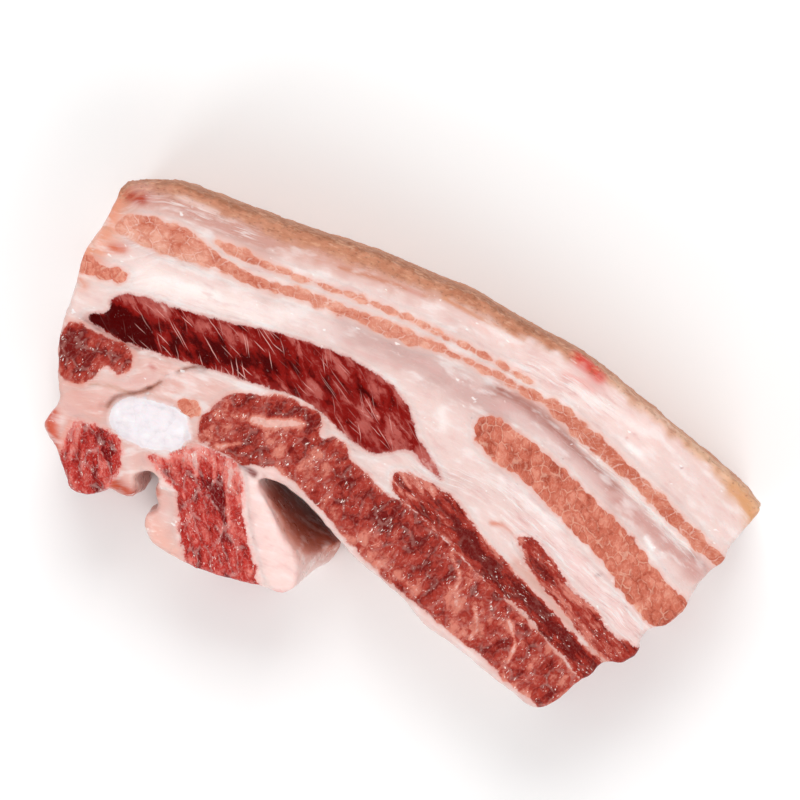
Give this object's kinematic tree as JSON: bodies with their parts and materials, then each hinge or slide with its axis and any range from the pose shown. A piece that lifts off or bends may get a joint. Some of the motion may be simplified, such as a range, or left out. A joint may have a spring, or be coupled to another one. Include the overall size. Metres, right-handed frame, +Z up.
{
  "type": "raw pork belly strip",
  "caption": "Thick curved strip of raw pork belly: rind on one long side, lean and fat layers across the cut, a sawn rib end and a loose flap.",
  "frame": {"origin": "middle of the strip's outline on the flat cut face that it lies on", "axes": "+X along the rind, +Y from the rib side towards the rind, +Z up out of the cut face that shows"},
  "size_m": [0.163, 0.0855, 0.0358],
  "materials": {
    "fat": "satin",
    "dark_lean": "wet gloss",
    "lean": "wet gloss",
    "pale_lean": "wet satin",
    "gristle": "satin"
  },
  "bodies": {
    "root": {"fat_and_rind": "fat", "dark_lean": "dark_lean", "flap_lean": "dark_lean", "rib_side_lean": "lean", "middle_lean": "lean", "narrow_lean": "lean", "torn_end_lean": "lean", "corner_lean": "lean", "pink_lean": "pale_lean", "skin_side_lean_inner": "pale_lean", "skin_side_lean_outer": "pale_lean", "rib_lean": "pale_lean", "edge_lean": "pale_lean", "rib_end": "gristle"}
  },
  "joints": []
}
